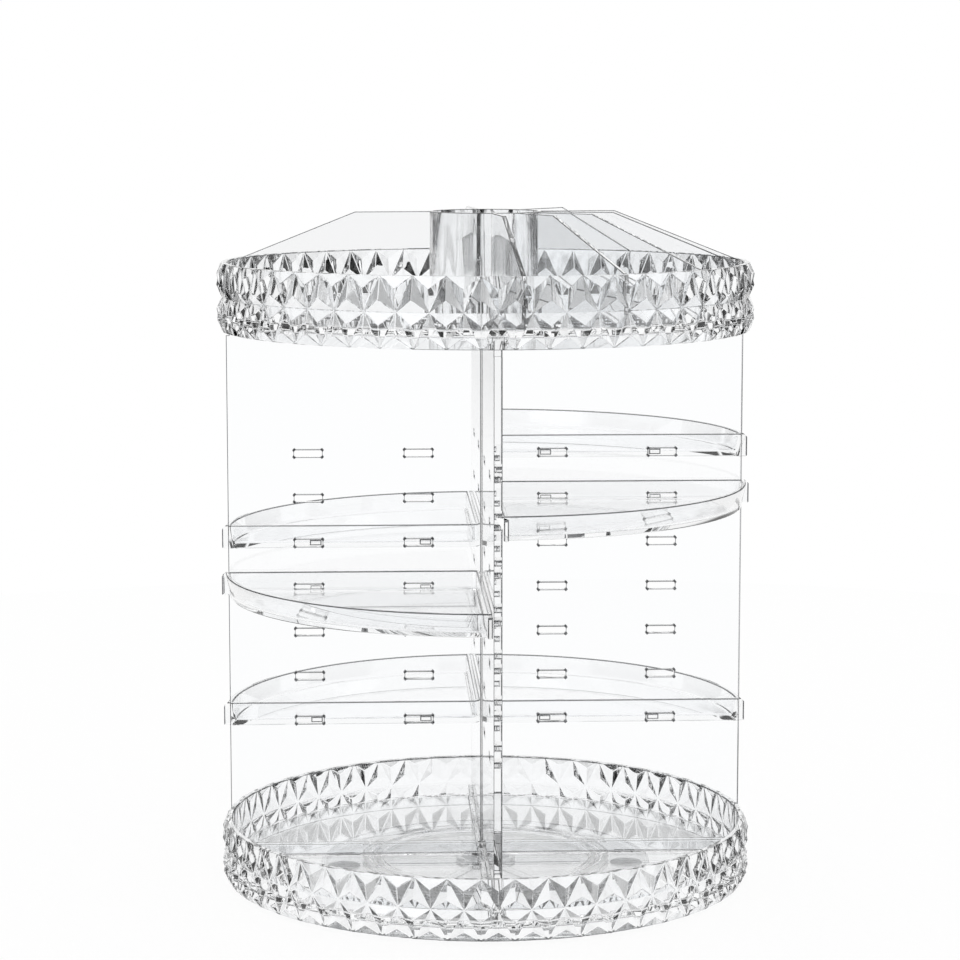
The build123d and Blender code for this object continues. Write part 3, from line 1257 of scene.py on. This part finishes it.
@dataclass(frozen=True)
class DarkStretches:
    """Dark stretches of the room, which the plastic mirrors.

    The spans are bearings from the rear towards the right, in degrees, with soft edges of a width in degrees.
    The levels are pairs of the upward part of a ray's direction and the darkness there.
    """

    spans: tuple[Pair, ...]
    soft: float
    levels: tuple[Pair, ...]

    def around(self, seam: float) -> list[Pair]:
        """Turns the spans into the stops of a ramp.

        Args:
            seam: The bearing where the ramp starts and ends.

        Returns:
            Places from 0 to 1 round the room, and the darkness there.
        """
        stops = [(0.0, 0.0), (1.0, 0.0)]
        for start, end in self.spans:
            for bearing, dark in (
                (start - self.soft, 0.0), (start, 1.0), (end, 1.0), (end + self.soft, 0.0),
            ):
                stops.append((((bearing - seam) / 360.0) % 1.0, dark))
        return stops

    def upwards(self) -> list[Pair]:
        """Gives the levels as the stops of a ramp, from 0 straight down to 1 straight up."""
        return [((level + 1.0) / 2.0, dark) for level, dark in self.levels]


@dataclass(frozen=True)
class Lamp:
    """A soft square lamp that the camera doesn't see."""

    name: str
    place: tuple[float, float, float]
    side: float
    power: float

    def hang(self, target: Vector) -> None:
        """Hangs the lamp.

        Args:
            target: The point that it shines at.
        """
        data = bpy.data.lights.new(self.name, "AREA")
        data.size = self.side
        data.energy = self.power
        lamp = bpy.data.objects.new(self.name, data)
        lamp.location = self.place
        lamp.rotation_euler = (target - lamp.location).to_track_quat("-Z", "Y").to_euler()
        lamp.visible_camera = False
        bpy.context.scene.collection.objects.link(lamp)


@dataclass
class Studio:
    """The pale floor, the light and the camera.

    The camera has its focal length and the column of the turning axis in pixels, and pitch and azimuth in
    degrees. Rays through smooth plastic see the dark stretches if it turned them back card_turns times or
    more. Those that were turned back a number of times within deep_turns, ends included, see deep_color.
    The seam is the bearing where the ramps start and end.
    """

    focal_pixels: float = 2919.6
    distance: float = 1252.6 * MM
    camera_height: float = 337.6 * MM
    pitch: float = 7.42
    azimuth: float = -2.6
    axis_column: float = 485.4
    sensor: float = 36.0
    clip_start: float = 0.01
    floor_radius: float = 0.8
    floor_flats: int = 128
    floor_color: Color = (0.93, 0.93, 0.93, 1.0)
    floor_glow: float = 0.9
    room_light: Color = (0.95, 0.95, 0.95, 1.0)
    seam: float = -8.0
    cards: DarkStretches = DarkStretches(
        spans=((10.5, 34.0), (326.0, 349.5)),
        soft=0.5,
        levels=((-0.45, 0.0), (-0.44, 1.0), (-0.2, 1.0), (-0.19, 0.0),
                (0.05, 0.0), (0.065, 1.0), (0.3, 1.0), (0.32, 0.0)),
    )
    ceiling: DarkStretches = DarkStretches(
        spans=((38.0, 70.0), (90.0, 125.0), (160.0, 200.0), (235.0, 270.0), (290.0, 322.0)),
        soft=0.8,
        levels=((-0.08, 0.0), (-0.06, 1.0), (0.5, 1.0), (0.55, 0.0)),
    )
    card_color: Color = (0.001, 0.001, 0.001, 1.0)
    card_turns: int = 1
    deep_turns: tuple[int, int] = (3, 8)
    deep_color: Color = (0.02, 0.02, 0.02, 1.0)
    lamps: tuple[Lamp, ...] = (
        Lamp("key_lamp", (-0.9, -1.1, 1.3), side=0.8, power=3.5),
        Lamp("side_lamp", (1.2, -0.3, 0.9), side=0.6, power=1.4),
    )
    target_height: float = 0.15
    bounces: int = 48
    transparent_bounces: int = 40

    def camera(self) -> None:
        """Places the camera where the photograph was taken from."""
        data = bpy.data.cameras.new("camera")
        data.sensor_width = self.sensor
        data.lens = self.focal_pixels / IMAGE_SIDE * self.sensor
        data.shift_x = -(self.axis_column - IMAGE_SIDE / 2) / IMAGE_SIDE
        data.clip_start = self.clip_start
        eye = bpy.data.objects.new("camera", data)
        turn = math.radians(self.azimuth)
        eye.location = (self.distance * math.sin(turn), -self.distance * math.cos(turn), self.camera_height)
        eye.rotation_euler = (QUARTER_TURN - math.radians(self.pitch), 0.0, turn)
        bpy.context.scene.collection.objects.link(eye)
        bpy.context.scene.camera = eye

    def floor(self) -> None:
        """Lays a round white floor that keeps the object's shadow."""
        bm = bmesh.new()
        bmesh.ops.create_circle(bm, cap_ends=True, segments=self.floor_flats, radius=self.floor_radius)
        mesh = bpy.data.meshes.new("floor")
        bm.to_mesh(mesh)
        bm.free()
        material, graph, paper = new_material("floor_paper")
        graph.feed(paper, {"Base Color": self.floor_color, "Roughness": 1.0, "Specular IOR Level": 0.0})
        glow = graph.add("ShaderNodeEmission", {"Color": self.deep_room(graph, WHITE)})
        share = graph.math("MULTIPLY", self.seen_ray(graph, camera=True), self.floor_glow)
        graph.show_mix(share, paper.outputs["BSDF"], glow.outputs["Emission"])
        mesh.materials.append(material)
        floor = bpy.data.objects.new("floor", mesh)
        bpy.context.scene.collection.objects.link(floor)

    def seen_ray(self, graph: NodeGraph, camera: bool) -> Socket:
        """Tells the rays that are seen in or through plastic and metal.

        Args:
            graph: The graph.
            camera: True to count camera rays too.

        Returns:
            1 for such rays and 0 for others.
        """
        light = graph.add("ShaderNodeLightPath").outputs
        seen = graph.math("MAXIMUM", light["Is Glossy Ray"], light["Is Transmission Ray"])
        return graph.math("MAXIMUM", seen, light["Is Camera Ray"]) if camera else seen

    def deep_room(self, graph: NodeGraph, room: Socket | Color) -> Socket:
        """Darkens a colour for rays that were turned back several times inside the plastic, as in the facets.

        Args:
            graph: The graph.
            room: The colour that other rays see.

        Returns:
            The colour that a ray sees.
        """
        fewest, most = self.deep_turns
        light = graph.add("ShaderNodeLightPath").outputs
        deep = graph.math("COMPARE", light["Glossy Depth"], (fewest + most) / 2, (most - fewest + 1) / 2)
        return graph.mix_colors(deep, room, self.deep_color)

    def ramp(self, graph: NodeGraph, place: Socket, stops: Iterable[Pair]) -> Socket:
        """Looks a place up in a grey ramp.

        Args:
            graph: The graph.
            place: The place, from 0 to 1.
            stops: Places and values of the ramp.

        Returns:
            The grey there.
        """
        node = graph.add("ShaderNodeValToRGB", {"Fac": place})
        elements = node.color_ramp.elements
        elements.remove(elements[1])
        for index, (position, value) in enumerate(sorted(stops)):
            element = elements[0] if index == 0 else elements.new(position)
            element.position = position
            element.color = (value, value, value, 1.0)
        return node.outputs["Color"]

    def world(self) -> None:
        """Makes a white room with dark cards at its sides and dark stretches in its ceiling.

        Camera rays see plain white. Only the plastic and the metal see the cards, and of the rays that come
        through smooth plastic only those that it turned back, so that no card shows straight through it.
        """
        world = bpy.data.worlds.new("studio")
        bpy.context.scene.world = world
        world.use_nodes = True
        graph = NodeGraph(world.node_tree)
        place = graph.add("ShaderNodeTexCoord").outputs["Generated"]
        ray = graph.add("ShaderNodeSeparateXYZ", {"Vector": place}).outputs
        bearing = graph.math("ARCTAN2", ray["X"], ray["Y"])
        turn = graph.math("FRACT", graph.math("MULTIPLY_ADD", bearing, 1.0 / FULL_TURN, -self.seam / 360.0))
        height = graph.math("MULTIPLY_ADD", ray["Z"], 0.5, 0.5)
        parts = []
        for stretches in (self.cards, self.ceiling):
            across = self.ramp(graph, turn, stretches.around(self.seam))
            upright = self.ramp(graph, height, stretches.upwards())
            parts.append(graph.math("MULTIPLY", across, upright))
        light = graph.add("ShaderNodeLightPath").outputs
        turned = graph.math("GREATER_THAN", light["Glossy Depth"], self.card_turns - 0.5)
        faceted = graph.math("LESS_THAN", light["Is Singular Ray"], 0.5)
        dark = graph.math("MULTIPLY", graph.math("MAXIMUM", *parts), graph.math("MAXIMUM", turned, faceted))
        room = self.deep_room(graph, graph.mix_colors(dark, WHITE, self.card_color))
        lit = graph.mix_colors(light["Is Camera Ray"], self.room_light, WHITE)
        seen = graph.mix_colors(self.seen_ray(graph, camera=False), lit, room)
        graph.feed(graph.nodes["Background"], {"Color": seen, "Strength": 1.0})

    def build(self) -> None:
        """Sets up the whole studio."""
        self.camera()
        self.floor()
        self.world()
        for lamp in self.lamps:
            lamp.hang(UP * self.target_height)
        scene = bpy.context.scene
        scene.view_settings.view_transform = "Standard"
        scene.cycles.max_bounces = self.bounces
        scene.cycles.transmission_bounces = self.bounces
        scene.cycles.glossy_bounces = self.bounces
        scene.cycles.transparent_max_bounces = self.transparent_bounces


def main() -> None:
    """Builds the studio and every piece, and notes each new piece's faces and open edges."""
    logging.basicConfig(level=logging.INFO, format="%(message)s")
    Studio().build()
    rim = ClearPlastic("clear_rim_plastic", facet_haze=(0.003, 0.006))
    CrystalTray("top_tray", rim).build()
    BaseTray("base_tray", rim).build()
    sheet = ClearPlastic("clear_panel_plastic", flow_scale=6.0, most_turns=2)
    for side in Side:
        SlottedPanel(side, sheet).build()
    shelf = ClearPlastic("clear_tray_plastic", most_turns=2)
    trays = {
        "rear_right_tray": Quarter.REAR_RIGHT,
        "rear_left_tray": Quarter.REAR_LEFT,
        "front_left_tray": Quarter.FRONT_LEFT,
        "front_right_tray": Quarter.FRONT_RIGHT,
        "rear_right_low_tray": Quarter.REAR_RIGHT,
        "rear_left_low_tray": Quarter.REAR_LEFT,
    }
    for node, quarter in trays.items():
        ShelfTray(node, quarter, shelf).build()
    DividerInsert(ClearPlastic("clear_divider_plastic")).build()
    Turntable(
        plastic=ClearPlastic("clear_foot_plastic", haze=(0.1, 0.2)),
        steel=SolidFinish("bearing_steel", (0.78, 0.78, 0.8, 1.0), metallic=1.0, haze=(0.08, 0.16)),
        plated=SolidFinish("plated_steel", (0.7, 0.7, 0.72, 1.0), metallic=1.0, haze=(0.2, 0.35)),
        nylon=SolidFinish("white_cage_plastic", (0.85, 0.85, 0.84, 1.0)),
        rubber=SolidFinish("pad_rubber", (0.72, 0.73, 0.74, 1.0), haze=(0.6, 0.8)),
    ).build()


if __name__ == "__main__":
    main()
